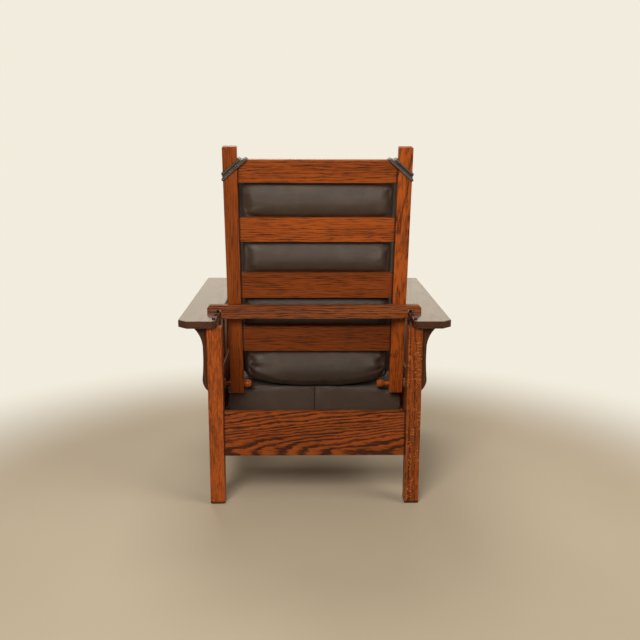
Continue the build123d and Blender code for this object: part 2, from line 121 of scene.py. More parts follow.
def streaks(tree, position, stretch, detail=2.0, distortion=0.0):
    """Noise drawn out along the axes by the three figures of stretch, per metre."""
    scaled = put(tree, "ShaderNodeVectorMath", operation="MULTIPLY")
    feed(tree, scaled.inputs[0], position)
    scaled.inputs[1].default_value = stretch
    texture = put(tree, "ShaderNodeTexNoise")
    feed(tree, texture.inputs["Vector"], scaled.outputs[0])
    texture.inputs["Scale"].default_value = 1.0
    texture.inputs["Detail"].default_value = detail
    texture.inputs["Distortion"].default_value = distortion
    return texture.outputs["Fac"]


def away_from(tree, position, centre, near, far):
    """A mask that goes from 0 near the centre to 1 far from it, in metres."""
    gap = put(tree, "ShaderNodeVectorMath", operation="DISTANCE")
    feed(tree, gap.inputs[0], position)
    gap.inputs[1].default_value = centre
    return fade(tree, gap.outputs["Value"], near, far)


surround_colour = (0.89, 0.84, 0.73, 1)
dark_floor = (0.4, 0.33, 0.235, 1)
pale_floor = (0.49, 0.41, 0.3, 1)
floor_middle = (0, 0.5, 0)
floor_fades_from, floor_fades_to = 1.0, 1.9
floor_finish, tree, shader = new_finish("pale floor")
floor_position = put(tree, "ShaderNodeTexCoord").outputs["Object"]
floor_cloud = streaks(tree, floor_position, (1.3, 1.3, 1.3), 5.0)
feed(tree, shader.inputs["Base Color"], mix_colours(tree, floor_cloud, dark_floor, pale_floor))
shader.inputs["Roughness"].default_value = 0.6
seen = put(tree, "ShaderNodeLightPath")
far_floor = away_from(tree, floor_position, floor_middle, floor_fades_from, floor_fades_to)
faded = reckon(tree, "MULTIPLY", seen.outputs["Is Camera Ray"], far_floor)
white = put(tree, "ShaderNodeEmission")
white.inputs["Color"].default_value = surround_colour
blend = put(tree, "ShaderNodeMixShader")
feed(tree, blend.inputs[0], faded)
feed(tree, blend.inputs[1], shader.outputs[0])
feed(tree, blend.inputs[2], white.outputs[0])
feed(tree, tree.nodes["Material Output"].inputs["Surface"], blend.outputs[0])
floor.data.materials.append(floor_finish)

mirrored_colour = (0.9, 0.79, 0.63, 1)
wall_light, dark_side_light, fill_light = 1.0, 0.15, 0.1
world = bpy.data.worlds.new("surround")
bpy.context.scene.world = world
world.use_nodes = True
tree = world.node_tree
seen = put(tree, "ShaderNodeLightPath")
direction = put(tree, "ShaderNodeSeparateXYZ")
feed(tree, direction.inputs[0], put(tree, "ShaderNodeTexCoord").outputs["Generated"])
wall_side = fade(tree, direction.outputs["Y"], -0.1, 0.4, wall_light, dark_side_light)
mirrored = reckon(tree, "MULTIPLY", seen.outputs["Is Glossy Ray"], wall_side)
unseen = fade(tree, seen.outputs["Is Glossy Ray"], 0.0, 1.0, fill_light, 0.0)
strength = reckon(tree, "ADD", mirrored, unseen)
surround = tree.nodes["Background"]
tint = mix_colours(tree, seen.outputs["Is Glossy Ray"], surround_colour, mirrored_colour)
feed(tree, surround.inputs["Color"], tint)
shown_strength = fade(tree, seen.outputs["Is Camera Ray"], 0.0, 1.0, strength, 1.0)
feed(tree, surround.inputs["Strength"], shown_strength)

lamp_aim = Vector((0, 0, 0.5))
lamp_colour = (1, 0.96, 0.9)
for lamp_name, place, size, power in (
    ("lamp above the camera", (0.9, 3.5, 2.95), 1.6, 148),
    ("lamp at the side", (-2.6, 1.6, 2.4), 1.8, 50),
    ("lamp in front", (0.4, -1.9, 3.3), 1.6, 60),
):
    lamp_data = bpy.data.lights.new(lamp_name, "AREA")
    lamp_data.size = size
    lamp_data.energy = power
    lamp_data.color = lamp_colour
    lamp = bpy.data.objects.new(lamp_name, lamp_data)
    lamp.location = place
    lamp.rotation_euler = (lamp_aim - Vector(place)).to_track_quat("-Z", "Y").to_euler()
    bpy.context.scene.collection.objects.link(lamp)

bpy.context.scene.view_settings.view_transform = "Standard"

# Legs and end rails: square posts and wide rails of fumed white oak, stained orange brown and
# waxed. The rear rail is flat sawn with a flame figure and the posts are quarter sawn.
pale_oak = (0.4, 0.083, 0.01, 1)
dark_oak = (0.055, 0.013, 0.004, 1)
ray_fleck = (0.52, 0.17, 0.045, 1)
# Painted shade at the ends of boards, where they meet another part or the floor.
joint_shade = (0.012, 0.005, 0.003, 1)
joint_shade_reach, joint_shade_edge = 0.008, 0.001


def oak_figure():
    """Growth rings round a pith along X, with dark open pores, fibres, ray fleck and the dark
    slivers between pale ones that quarter-sawn wood shows, as a node group."""
    group = bpy.data.node_groups.new("oak figure", "ShaderNodeTree")
    for socket_name, kind, value in (
        ("Position", "NodeSocketVector", (0, 0, 0)),
        ("Pale wood", "NodeSocketColor", pale_oak),
        ("Dark wood", "NodeSocketColor", dark_oak),
        ("Ring width", "NodeSocketFloat", 0.007),
        ("Ring wander", "NodeSocketFloat", 0.01),
        ("Ring depth", "NodeSocketFloat", 0.8),
        ("Pores", "NodeSocketFloat", 0.6),
        ("Rays", "NodeSocketFloat", 0.0),
        ("Slivers", "NodeSocketFloat", 0.0),
    ):
        group.interface.new_socket(socket_name, in_out="INPUT", socket_type=kind).default_value = value
    for socket_name, kind in (
        ("Colour", "NodeSocketColor"),
        ("Roughness", "NodeSocketFloat"),
        ("Height", "NodeSocketFloat"),
    ):
        group.interface.new_socket(socket_name, in_out="OUTPUT", socket_type=kind)
    given = put(group, "NodeGroupInput").outputs
    result = put(group, "NodeGroupOutput").inputs
    position = given["Position"]
    place = put(group, "ShaderNodeSeparateXYZ")
    feed(group, place.inputs[0], position)
    across = reckon(group, "POWER", place.outputs["Y"], 2.0)
    through = reckon(group, "POWER", place.outputs["Z"], 2.0)
    radius = reckon(group, "SQRT", reckon(group, "ADD", across, through))
    slow = reckon(group, "SUBTRACT", streaks(group, position, (3, 16, 16), 2.0), 0.5)
    quick = reckon(group, "SUBTRACT", streaks(group, position, (14, 60, 60), 2.0), 0.5)
    ragged = reckon(group, "SUBTRACT", streaks(group, position, (34, 330, 330), 2.0), 0.5)
    wander = reckon(group, "ADD", slow, reckon(group, "MULTIPLY", quick, 0.22))
    bent = reckon(group, "ADD", radius, reckon(group, "MULTIPLY", wander, given["Ring wander"]))
    bent = reckon(group, "ADD", bent, reckon(group, "MULTIPLY", ragged, 0.006))
    rings = reckon(group, "DIVIDE", bent, given["Ring width"])
    in_ring = reckon(group, "FRACT", rings)
    ring_starts, ring_ends = fade(group, in_ring, 0.0, 0.1), fade(group, in_ring, 0.3, 0.7, 1.0, 0.0)
    early = reckon(group, "MULTIPLY", ring_starts, ring_ends)
    which_ring = put(group, "ShaderNodeTexWhiteNoise", noise_dimensions="1D")
    feed(group, which_ring.inputs["W"], reckon(group, "FLOOR", rings))
    ring_share = fade(group, which_ring.outputs["Value"], 0.0, 1.0, 0.5, 1.0)
    early = reckon(group, "MULTIPLY", reckon(group, "MULTIPLY", early, ring_share), given["Ring depth"])
    pores = fade(group, streaks(group, position, (15, 380, 380), 3.0), 0.47, 0.66)
    pores = reckon(group, "MULTIPLY", pores, fade(group, early, 0.0, 0.7, 0.6, 1.0))
    pores = reckon(group, "MULTIPLY", pores, given["Pores"])
    fibres = streaks(group, position, (16, 420, 420), 3.0)
    tone = streaks(group, position, (2.5, 20, 20), 3.0)
    broad_shade = fade(group, tone, 0.3, 0.7, -0.12, 0.2)
    shade = reckon(group, "ADD", broad_shade, fade(group, fibres, 0.35, 0.65, -0.16, 0.16))
    slivers = streaks(group, position, (42, 250, 250), 2.0, 1.2)
    slivers = reckon(group, "MULTIPLY", fade(group, slivers, 0.46, 0.6, 0.5, -0.12), given["Slivers"])
    darkness = reckon(group, "ADD", early, pores)
    darkness = reckon(group, "ADD", darkness, reckon(group, "ADD", shade, slivers))
    colour = mix_colours(group, darkness, given["Pale wood"], given["Dark wood"])
    rays = fade(group, streaks(group, position, (240, 62, 62), 1.0, 0.9), 0.57, 0.66)
    patches = fade(group, streaks(group, position, (13, 75, 75), 1.0), 0.44, 0.56)
    rays = reckon(group, "MULTIPLY", reckon(group, "MULTIPLY", rays, patches), given["Rays"])
    feed(group, result["Colour"], mix_colours(group, rays, colour, ray_fleck))
    open_grain = reckon(group, "ADD", pores, early)
    feed(group, result["Roughness"], fade(group, open_grain, 0.0, 1.2, 0.34, 0.56))
    feed(group, result["Height"], reckon(group, "SUBTRACT", 1.0, darkness))
    return group


oak = oak_figure()


def toned(colour, share):
    """A colour made darker or lighter by a share."""
    return tuple(value * share for value in colour[:3]) + (1,)


def saw_board(
    node_name, along, face, pith, seed, pale=pale_oak, dark=dark_oak, tone=1.0, ring=0.006, wander=0.01,
    depth=0.5, pores=0.7, rays=0.0, slivers=0.0, lean=0.0, dive=0.0, coat=0.0, shown=None,
):
    """Gives a board its oak. The grain runs along, and face is the broad side. Pith is where the
    tree's middle lies, across and behind the board, and seed tells one tree from another. Tone
    darkens or lightens both colours. Ring, wander and depth are the growth rings' width, their
    waviness and how dark they are, and pores, rays and slivers are how strongly those show. The
    grain leans across the face by lean and dives into it by dive, in degrees. A coat of rubbed
    polish lies on upper sides. Both ends of the length that is shown, which is measured from the
    board's middle, are darkened with painted shade where the board meets another part or the floor."""
    low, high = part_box(node_name)
    material, tree, shader = new_finish(f"oak {node_name}")
    along, face = Vector(along).normalized(), Vector(face).normalized()
    middle = (low + high) / 2
    turn = Matrix((along, face.cross(along), face))
    leaning = Matrix.Rotation(math.radians(lean), 3, "Z") @ Matrix.Rotation(math.radians(dive), 3, "Y")
    turn = leaning @ turn
    position = put(tree, "ShaderNodeTexCoord").outputs["Object"]
    board = put(tree, "ShaderNodeMapping")
    feed(tree, board.inputs["Vector"], position)
    board.inputs["Rotation"].default_value = turn.to_euler()
    board.inputs["Location"].default_value = Vector((seed * 1.37, pith[0], pith[1])) - turn @ middle
    figure = put(tree, "ShaderNodeGroup", node_tree=oak)
    for socket_name, value in (
        ("Position", board.outputs[0]),
        ("Pale wood", toned(pale, tone)),
        ("Dark wood", toned(dark, tone)),
        ("Ring width", ring),
        ("Ring wander", wander),
        ("Ring depth", depth),
        ("Pores", pores),
        ("Rays", rays),
        ("Slivers", slivers),
    ):
        feed(tree, figure.inputs[socket_name], value)
    colour = figure.outputs["Colour"]
    # Painted shade darkens both ends of the shown length.
    if shown:
        reach = put(tree, "ShaderNodeVectorMath", operation="DOT_PRODUCT")
        feed(tree, reach.inputs[0], position)
        reach.inputs[1].default_value = along
        along_board = reckon(tree, "SUBTRACT", reach.outputs["Value"], middle.dot(along))
        from_middle = reckon(tree, "ABSOLUTE", along_board)
        inner_end, outer_end = shown - joint_shade_reach, shown - joint_shade_edge
        end_shade = fade(tree, from_middle, inner_end, outer_end, 0.0, 0.85)
        colour = mix_colours(tree, end_shade, colour, joint_shade)
    feed(tree, shader.inputs["Base Color"], colour)
    feed(tree, shader.inputs["Roughness"], figure.outputs["Roughness"])
    shader.inputs["Specular IOR Level"].default_value = 0.18
    if coat:
        facing = put(tree, "ShaderNodeSeparateXYZ")
        feed(tree, facing.inputs[0], put(tree, "ShaderNodeTexCoord").outputs["Normal"])
        upper_coat = fade(tree, facing.outputs["Z"], 0.5, 0.9, 0.1 * coat, coat)
        feed(tree, shader.inputs["Coat Weight"], upper_coat)
        shader.inputs["Coat Roughness"].default_value = 0.12
        shader.inputs["Coat IOR"].default_value = 2.3
    bump = put(tree, "ShaderNodeBump")
    bump.inputs["Strength"].default_value = 0.35
    bump.inputs["Distance"].default_value = 0.0006
    feed(tree, bump.inputs["Height"], figure.outputs["Height"])
    feed(tree, shader.inputs["Normal"], bump.outputs[0])
    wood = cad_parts[node_name]
    wood.data.materials.clear()
    wood.data.materials.append(material)


upright, crosswise, lengthwise = (0, 0, 1), (1, 0, 0), (0, -1, 0)
foot_shown, rail_shown = 0.279, 0.276
saw_board("rear_leg_right", upright, (0, 1, 0), pith=(0.03, -0.09), seed=1, tone=0.74, depth=0.5,
          pores=0.25, rays=0.75, slivers=0.6, shown=foot_shown)
saw_board("rear_leg_left", upright, (0, 1, 0), pith=(-0.11, -0.02), seed=2, tone=0.93, depth=0.2,
          pores=0.15, slivers=0.75, shown=foot_shown)
saw_board("front_leg_left", upright, (0, -1, 0), pith=(-0.1, -0.03), seed=3, tone=0.93, depth=0.3,
          pores=0.2, rays=0.4, slivers=0.7, shown=foot_shown)
saw_board("front_leg_right", upright, (0, -1, 0), pith=(0.05, -0.09), seed=4, tone=0.84, depth=0.4,
          pores=0.2, rays=0.6, slivers=0.6, shown=foot_shown)
saw_board("rear_rail", crosswise, (0, 1, 0), pith=(-0.065, -0.07), seed=5, tone=0.66, ring=0.0085,
          wander=0.03, lean=-3, dive=5, depth=1.0, pores=0.5, shown=rail_shown)
saw_board("front_rail", crosswise, (0, -1, 0), pith=(-0.03, -0.06), seed=6, tone=0.72, ring=0.0085,
          wander=0.03, lean=-2, dive=4, depth=0.95, pores=0.5, shown=rail_shown)

# Sides: a deep rail tenoned into both legs, and five flat slats between it and the arm, in the
# same oak.
for side_number, side_name in enumerate(("left", "right")):
    outward = (1, 0, 0) if side_name == "left" else (-1, 0, 0)
    saw_board(f"side_rail_{side_name}", lengthwise, outward, pith=(-0.05, -0.06), seed=7 + side_number,
              tone=0.72, ring=0.009, wander=0.03, lean=1.6, dive=3, depth=0.95, pores=0.5)
    for slat_number in range(1, 6):
        saw_board(f"side_slat_{side_name}_{slat_number}", upright, outward,
                  pith=(0.02 * slat_number - 0.05, -0.05), seed=10 + slat_number + 6 * side_number,
                  tone=0.78, lean=1.2)

# Arms, corbels and buttons: wide flat boards, darker than the frame and rubbed to a gloss. A
# shaped bracket of the same dark oak holds each up at each leg, and a row of dowel ends stands up
# from its rear to stop the recline bar.
pale_arm = (0.13, 0.04, 0.014, 1)
dark_arm = (0.03, 0.01, 0.005, 1)
dark_button = (0.02, 0.008, 0.005, 1)
for side_number, side_name in enumerate(("left", "right")):
    saw_board(f"arm_{side_name}", lengthwise, (0, 0, 1), pith=(0.02, -0.05), seed=24 + side_number,
              pale=pale_arm, dark=dark_arm, tone=0.6, ring=0.008, lean=1.5, dive=2, wander=0.02,
              depth=0.7, coat=1.0)
    for end_name in ("rear", "front"):
        saw_board(f"{end_name}_corbel_{side_name}", upright, (0, 1, 0), pith=(0.04, -0.06),
                  seed=26 + side_number, pale=pale_arm, dark=dark_arm, tone=0.6)
    saw_board(f"arm_buttons_{side_name}", upright, (0, 1, 0), pith=(0.02, -0.04), seed=28,
              pale=dark_arm, dark=dark_button)

# Seat deck: rough-planed slats of a paler wood that lie on two cleats, screwed to the side rails
# and left without stain.
pale_deck = (0.42, 0.27, 0.15, 1)
dark_deck = (0.26, 0.15, 0.08, 1)
for side_name in ("left", "right"):
    saw_board(f"seat_cleat_{side_name}", lengthwise, (1, 0, 0), pith=(0.02, -0.05), seed=30,
              pale=pale_deck, dark=dark_deck)
for slat_number in range(1, 8):
    saw_board(f"seat_slat_{slat_number}", crosswise, (0, 0, 1), pith=(0.01 * slat_number - 0.03, -0.06),
              seed=31 + slat_number, pale=pale_deck, dark=dark_deck, wander=0.02)

dark_steel = (0.3, 0.28, 0.25, 1)
bright_steel = (0.5, 0.48, 0.44, 1)
screw_steel, tree, shader = new_finish("screw steel")
shader.inputs["Metallic"].default_value = 1.0
screw_grime = streaks(tree, put(tree, "ShaderNodeTexCoord").outputs["Object"], (300, 300, 300), 3.0)
feed(tree, shader.inputs["Base Color"], mix_colours(tree, screw_grime, dark_steel, bright_steel))
feed(tree, shader.inputs["Roughness"], fade(tree, screw_grime, 0.3, 0.7, 0.3, 0.55))
for side_name in ("left", "right"):
    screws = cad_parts[f"cleat_screws_{side_name}"]
    screws.data.materials.clear()
    screws.data.materials.append(screw_steel)

# Seat cushion: a boxed cushion of dark brown leather over a firm filling, with its front drawn in
# between the legs. The boxing is sewn to the panels with a plain seam, topstitched beside it, and
# joined at the middle of the rear, where it stands stiff against the filling.
def leather_grain():
    """Small pebbled cells, mottling and rubbed high spots of a pigmented hide, as a node group."""
    group = bpy.data.node_groups.new("leather grain", "ShaderNodeTree")
    for socket_name, kind, value in (
        ("Position", "NodeSocketVector", (0, 0, 0)),
        ("Hide", "NodeSocketColor", (0.05, 0.03, 0.02, 1)),
        ("Rubbed hide", "NodeSocketColor", (0.09, 0.06, 0.04, 1)),
        ("Cells per metre", "NodeSocketFloat", 650.0),
    ):
        group.interface.new_socket(socket_name, in_out="INPUT", socket_type=kind).default_value = value
    for socket_name, kind in (
        ("Colour", "NodeSocketColor"),
        ("Roughness", "NodeSocketFloat"),
        ("Height", "NodeSocketFloat"),
    ):
        group.interface.new_socket(socket_name, in_out="OUTPUT", socket_type=kind)
    given = put(group, "NodeGroupInput").outputs
    result = put(group, "NodeGroupOutput").inputs
    position = given["Position"]
    cells = put(group, "ShaderNodeTexVoronoi", feature="DISTANCE_TO_EDGE")
    feed(group, cells.inputs["Vector"], position)
    feed(group, cells.inputs["Scale"], given["Cells per metre"])
    pebble = fade(group, cells.outputs["Distance"], 0.0, 0.18)
    mottle = streaks(group, position, (22, 22, 22), 4.0)
    pull = streaks(group, position, (5, 5, 5), 2.0)
    pulled = fade(group, pull, 0.3, 0.7, 0.3, 1.0)
    rubbed = reckon(group, "MULTIPLY", fade(group, mottle, 0.4, 0.72), pulled)
    colour = mix_colours(group, rubbed, given["Hide"], given["Rubbed hide"])
    crease_shade = fade(group, pebble, 0.0, 1.0, 0.78, 1.0)
    feed(group, result["Colour"], mix_colours(group, 1.0, colour, crease_shade, "MULTIPLY"))
    gloss = reckon(group, "ADD", mottle, pebble)
    feed(group, result["Roughness"], fade(group, gloss, 0.3, 1.7, 0.46, 0.33))
    swell = reckon(group, "MULTIPLY", mottle, 2.0)
    feed(group, result["Height"], reckon(group, "ADD", pebble, swell))
    return group


grain = leather_grain()
# Painted shade: the near-black colour put on leather where a shade mask says.
slot_shade_colour = (0.01, 0.006, 0.004, 1)


def tan_leather(name, hide, rubbed, cells, raised, shade_mask=None):
    """A leather finish: hide and rubbed colours, cells per metre, and the height of the grain. Where
    the given shade mask says, painted shade darkens the colour and dulls it, for instance in a deep
    slot."""
    material, tree, shader = new_finish(name)
    surface = put(tree, "ShaderNodeGroup", node_tree=grain)
    for socket_name, value in (
        ("Position", put(tree, "ShaderNodeTexCoord").outputs["Object"]),
        ("Hide", hide),
        ("Rubbed hide", rubbed),
        ("Cells per metre", cells),
    ):
        feed(tree, surface.inputs[socket_name], value)
    colour, roughness = surface.outputs["Colour"], surface.outputs["Roughness"]
    # Painted shade darkens and dulls the leather where the mask says.
    if shade_mask:
        fold = shade_mask(tree, put(tree, "ShaderNodeTexCoord").outputs["Object"])
        colour = mix_colours(tree, fold, colour, slot_shade_colour)
        roughness = fade(tree, fold, 0.0, 1.0, roughness, 0.9)
    feed(tree, shader.inputs["Base Color"], colour)
    feed(tree, shader.inputs["Roughness"], roughness)
    bump = put(tree, "ShaderNodeBump")
    bump.inputs["Strength"].default_value = 0.5
    bump.inputs["Distance"].default_value = raised
    feed(tree, bump.inputs["Height"], surface.outputs["Height"])
    feed(tree, shader.inputs["Normal"], bump.outputs[0])
    return material


def settle(piece):
    """Replaces a piece's mesh with the one that its modifiers make."""
    made = bpy.data.meshes.new_from_object(piece.evaluated_get(bpy.context.evaluated_depsgraph_get()))
    piece.modifiers.clear()
    piece.data = made


def cut_cover(node_name, piece_name, face_size):
    """The skin of a CAD cushion in even small faces, as a new piece."""
    piece = bpy.data.objects.new(piece_name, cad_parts[node_name].data.copy())
    bpy.context.scene.collection.objects.link(piece)
    even = piece.modifiers.new("even", "REMESH")
    even.mode = "VOXEL"
    even.voxel_size = face_size
    settle(piece)
    return piece


filling_pressure = 3.5
filling_steps = 20
filled_most = 0.012


def fill_cover(piece):
    """Blows the cover up like a filling does, by at most filled_most at any point."""
    start = [vertex.co.copy() for vertex in piece.data.vertices]
    cloth = piece.modifiers.new("filling", "CLOTH")
    cloth.settings.quality = 4
    cloth.settings.mass = 0.3
    cloth.settings.tension_stiffness = 22
    cloth.settings.compression_stiffness = 22
    cloth.settings.shear_stiffness = 8
    cloth.settings.bending_stiffness = 1.5
    cloth.settings.use_pressure = True
    cloth.settings.uniform_pressure_force = filling_pressure
    cloth.settings.effector_weights.gravity = 0
    cloth.collision_settings.distance_min = 0.002
    for step in range(1, filling_steps + 1):
        bpy.context.scene.frame_set(step)
    settle(piece)
    bpy.context.scene.frame_set(1)
    for vertex, before in zip(piece.data.vertices, start):
        moved = vertex.co - before
        if moved.length > filled_most:
            vertex.co = before + moved * (filled_most / moved.length)


class Cover:
    """A cushion's cover as it was cut, to find where places on it went when it was filled."""

    def __init__(self, piece):
        self.piece = piece
        self.cut = [vertex.co.copy() for vertex in piece.data.vertices]
        self.faces = [list(face.vertices) for face in piece.data.polygons]
        self.tree = BVHTree.FromPolygons(self.cut, self.faces)

    def seam(self, centre, across, forward, count=220):
        """Places round the cut cover in the plane of across and forward through centre."""
        places = []
        for step in range(count):
            angle = 2 * math.pi * step / count
            outward = across * math.cos(angle) + forward * math.sin(angle)
            places.append(self.tree.ray_cast(centre + outward, -outward)[0])
        return places

    def shoulder(self, centre, across, forward, low, high, turned=0.6, pitch=0.002, count=220):
        """Places round the cut cover, looked for from low to high, at which its sides turn over
        into its upper panel."""
        up = across.cross(forward) * -1
        places = []
        for step in range(count):
            angle = 2 * math.pi * step / count
            outward = across * math.cos(angle) + forward * math.sin(angle)
            height = low
            while height < high:
                hit, normal, _, _ = self.tree.ray_cast(centre + up * height + outward, -outward)
                if hit is None or normal.dot(up) > turned:
                    break
                place = hit
                height += pitch
            places.append(place)
        for _ in range(2):
            places = [
                (places[step - 2] + places[step - 1] + place + places[(step + 1) % count]
                 + places[(step + 2) % count]) / 5
                for step, place in enumerate(places)
            ]
        return places

    def upward(self, start, forward, up, low, high, pitch):
        """Places in a line up the cut cover's rear, at an even pitch."""
        places = []
        for step in range(round((high - low) / pitch) + 1):
            behind = start + up * (low + step * pitch) - forward
            places.append(self.tree.ray_cast(behind, forward)[0])
        return places

    def filled(self, places, lift=0.0):
        """Where places on the cut cover lie now, with the cover's outward direction at each."""
        found = []
        for place in places:
            near, _, number, _ = self.tree.find_nearest(place)
            corners = self.faces[number]
            weights = poly_3d_calc([self.cut[corner] for corner in corners], near)
            vertices = self.piece.data.vertices
            weighed = list(zip(corners, weights))
            now = sum((vertices[corner].co * weight for corner, weight in weighed), Vector())
            outward = sum((vertices[corner].normal * weight for corner, weight in weighed), Vector())
            outward.normalize()
            found.append((now + outward * lift, outward))
        return found


def even_places(places, pitch, closed=True):
    """The same line with places at an even pitch."""
    line = list(places) + ([places[0]] if closed else [])
    reach = [0.0]
    for first, second in zip(line, line[1:]):
        reach.append(reach[-1] + (second - first).length)
    count = max(2, round(reach[-1] / pitch))
    spread, at = [], 0
    for step in range(count):
        wanted = reach[-1] * step / (count if closed else count - 1)
        while at < len(reach) - 2 and reach[at + 1] < wanted:
            at += 1
        share = (wanted - reach[at]) / max(1e-9, reach[at + 1] - reach[at])
        spread.append(line[at].lerp(line[at + 1], min(1.0, share)))
    return spread


stitch_lift = 0.0004


def beside(cover, seam, shift):
    """A row of places on the filled cover at a distance from its seam."""
    surface = BVHTree.FromPolygons([vertex.co for vertex in cover.piece.data.vertices], cover.faces)
    row = []
    earlier, later = seam[-1:] + seam[:-1], seam[1:] + seam[:1]
    for (before, _), (here, outward), (after, _) in zip(earlier, seam, later):
        across = outward.cross(after - before).normalized()
        near, normal, _, _ = surface.find_nearest(here + across * shift)
        row.append((near + normal * stitch_lift, normal))
    return row


def draw_in(cover, seams, groove, groove_width, pucker, pucker_reach, seed):
    """Sinks the filled cover along its seams and gathers it in small folds square to them."""
    known = KDTree(sum(len(seam) for seam in seams))
    reach = []
    for seam in seams:
        for step, place in enumerate(seam):
            known.insert(place, len(reach))
            reach.append(step)
    known.balance()
    vertices = cover.piece.data.vertices
    normals = [vertex.normal.copy() for vertex in vertices]
    for vertex, before, normal in zip(vertices, cover.cut, normals):
        _, nearest, gap = known.find(before)
        if gap > 3 * pucker_reach:
            continue
        at = reach[nearest]
        fold = noise.noise(Vector((at * 0.45, seed, 0))) + 0.5 * noise.noise(Vector((at, seed, 3)))
        depth = groove * math.exp(-((gap / groove_width) ** 2))
        depth += pucker * fold * math.exp(-((gap / pucker_reach) ** 2))
        vertex.co -= normal * depth


def sew(name, places, width, body, finish, long_share=0.62, pitch=0.005):
    """A row of stitches along places with their outward directions, as one mesh. Each stitch
    rises in the middle, goes back into the leather at both ends, and fills long_share of a step."""
    made = bmesh.new()
    for (here, outward), (there, _) in zip(places, places[1:] + places[:1]):
        along = there - here
        if along.length > 2.5 * pitch or along.length < 1e-6:
            continue
        side = outward.cross(along).normalized() * width / 2
        half = along * long_share / 2
        middle = here + along / 2
        ring = []
        for end_share, rise in ((-1.0, -0.6), (-0.6, 0.5), (0.6, 0.5), (1.0, -0.6)):
            for side_share, height in ((-1, 0.0), (0, 1.0), (1, 0.0)):
                lift = outward * (rise * width * (0.4 + 0.6 * height))
                ring.append(made.verts.new(middle + half * end_share + side * side_share + lift))
        for row in range(3):
            for column in range(2):
                first = row * 3 + column
                made.faces.new((ring[first], ring[first + 1], ring[first + 4], ring[first + 3]))
            made.faces.new((ring[row * 3], ring[row * 3 + 3], ring[row * 3 + 5], ring[row * 3 + 2]))
        made.faces.new((ring[0], ring[2], ring[1]))
        made.faces.new((ring[9], ring[10], ring[11]))
    bmesh.ops.recalc_face_normals(made, faces=made.faces)
    data = bpy.data.meshes.new(name)
    made.to_mesh(data)
    made.free()
    data.materials.append(finish)
    piece = bpy.data.objects.new(name, data)
    bpy.context.scene.collection.objects.link(piece)
    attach(piece, body)
    return piece


def pipe(name, places, radius, body, finish, closed=True):
    """A seam's rounded lip: a thin closed cord of leather along places, half sunk in the cover."""
    curve = bpy.data.curves.new(name, "CURVE")
    curve.dimensions = "3D"
    curve.bevel_depth = radius
    curve.bevel_resolution = 2
    spline = curve.splines.new("POLY")
    spline.points.add(len(places) - 1)
    for point, (place, _) in zip(spline.points, places):
        point.co = (*place, 1)
    spline.use_cyclic_u = closed
    curve.materials.append(finish)
    piece = bpy.data.objects.new(name, curve)
    bpy.context.scene.collection.objects.link(piece)
    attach(piece, body)
    return piece


def finish_skin(piece, leather):
    """Rounds off the faces of a leather piece and puts its finish on."""
    piece.modifiers.new("round", "SUBSURF").levels = 1
    settle(piece)
    piece.data.polygons.foreach_set("use_smooth", [True] * len(piece.data.polygons))
    piece.data.materials.clear()
    piece.data.materials.append(leather)


def spin_thread(name, dark, pale):
    """Waxed thread, with the turns of its twist from dark to pale."""
    material, tree, shader = new_finish(name)
    twist = streaks(tree, put(tree, "ShaderNodeTexCoord").outputs["Object"], (900, 900, 900), 1.0)
    feed(tree, shader.inputs["Base Color"], mix_colours(tree, twist, dark, pale))
    shader.inputs["Roughness"].default_value = 0.6
    return material


def eased(value, low, high):
    """A share that goes smoothly from 0 at low to 1 at high."""
    share = max(0.0, min(1.0, (value - low) / (high - low)))
    return share * share * (3 - 2 * share)


hide_brown, rubbed_brown = (0.05, 0.031, 0.021, 1), (0.068, 0.044, 0.031, 1)
seam_brown, rubbed_seam = (0.034, 0.021, 0.016, 1), (0.06, 0.04, 0.03, 1)
# The rear joint's seam is near black: painted shade in its fold.
joint_shade_brown, rubbed_joint_shade = (0.008, 0.005, 0.004, 1), (0.014, 0.009, 0.007, 1)
hide_cells = 620.0
# The seat's leather is a lighter copy of the back's hide: painted light on the seat cushion.
seat_light_share = 1.35
lit_seat_brown, lit_rubbed_seat = toned(hide_brown, seat_light_share), toned(rubbed_brown, seat_light_share)
lit_seat_leather = tan_leather("lit seat leather", lit_seat_brown, lit_rubbed_seat, hide_cells, raised=0.0004)
seam_leather = tan_leather("seam leather", seam_brown, rubbed_seam, hide_cells, raised=0.0003)
joint_shade_leather = tan_leather("painted shade in the fold", joint_shade_brown, rubbed_joint_shade, hide_cells, raised=0.0002)
thread_brown, worn_thread = (0.03, 0.018, 0.013, 1), (0.08, 0.05, 0.035, 1)
thread = spin_thread("brown thread", thread_brown, worn_thread)

seat_slope = math.radians(7.6)
seat_forward = Vector((0, -math.cos(seat_slope), math.sin(seat_slope)))
seat_up = Vector((0, math.sin(seat_slope), math.cos(seat_slope)))
seat_right = Vector((1, 0, 0))
deck_rear = Vector((0, 0.147, 0.207))
seat_panel_middle = deck_rear + seat_forward * 0.25
rail_inner, leg_inner, front_legs_from = 0.2985, 0.2755, 0.478
deck_gap = 0.0005
stiff_share, stiff_until, soft_from = 0.9, 0.02, 0.07

cover_face = 0.006
seat_cushion = cut_cover("seat_cushion", "seat_cushion_cover", cover_face)
seat_cover = Cover(seat_cushion)
fill_cover(seat_cushion)
for vertex, before in zip(seat_cushion.data.vertices, seat_cover.cut):
    from_rear = (before - deck_rear).dot(seat_forward)
    stiff = stiff_share * (1 - eased(from_rear, stiff_until, soft_from))
    vertex.co = vertex.co.lerp(before, stiff)
    above = (vertex.co - deck_rear).dot(seat_up)
    if above < deck_gap:
        vertex.co += seat_up * (deck_gap - above)
    inner = leg_inner if from_rear > front_legs_from else rail_inner
    vertex.co.x = max(-inner, min(inner, vertex.co.x))

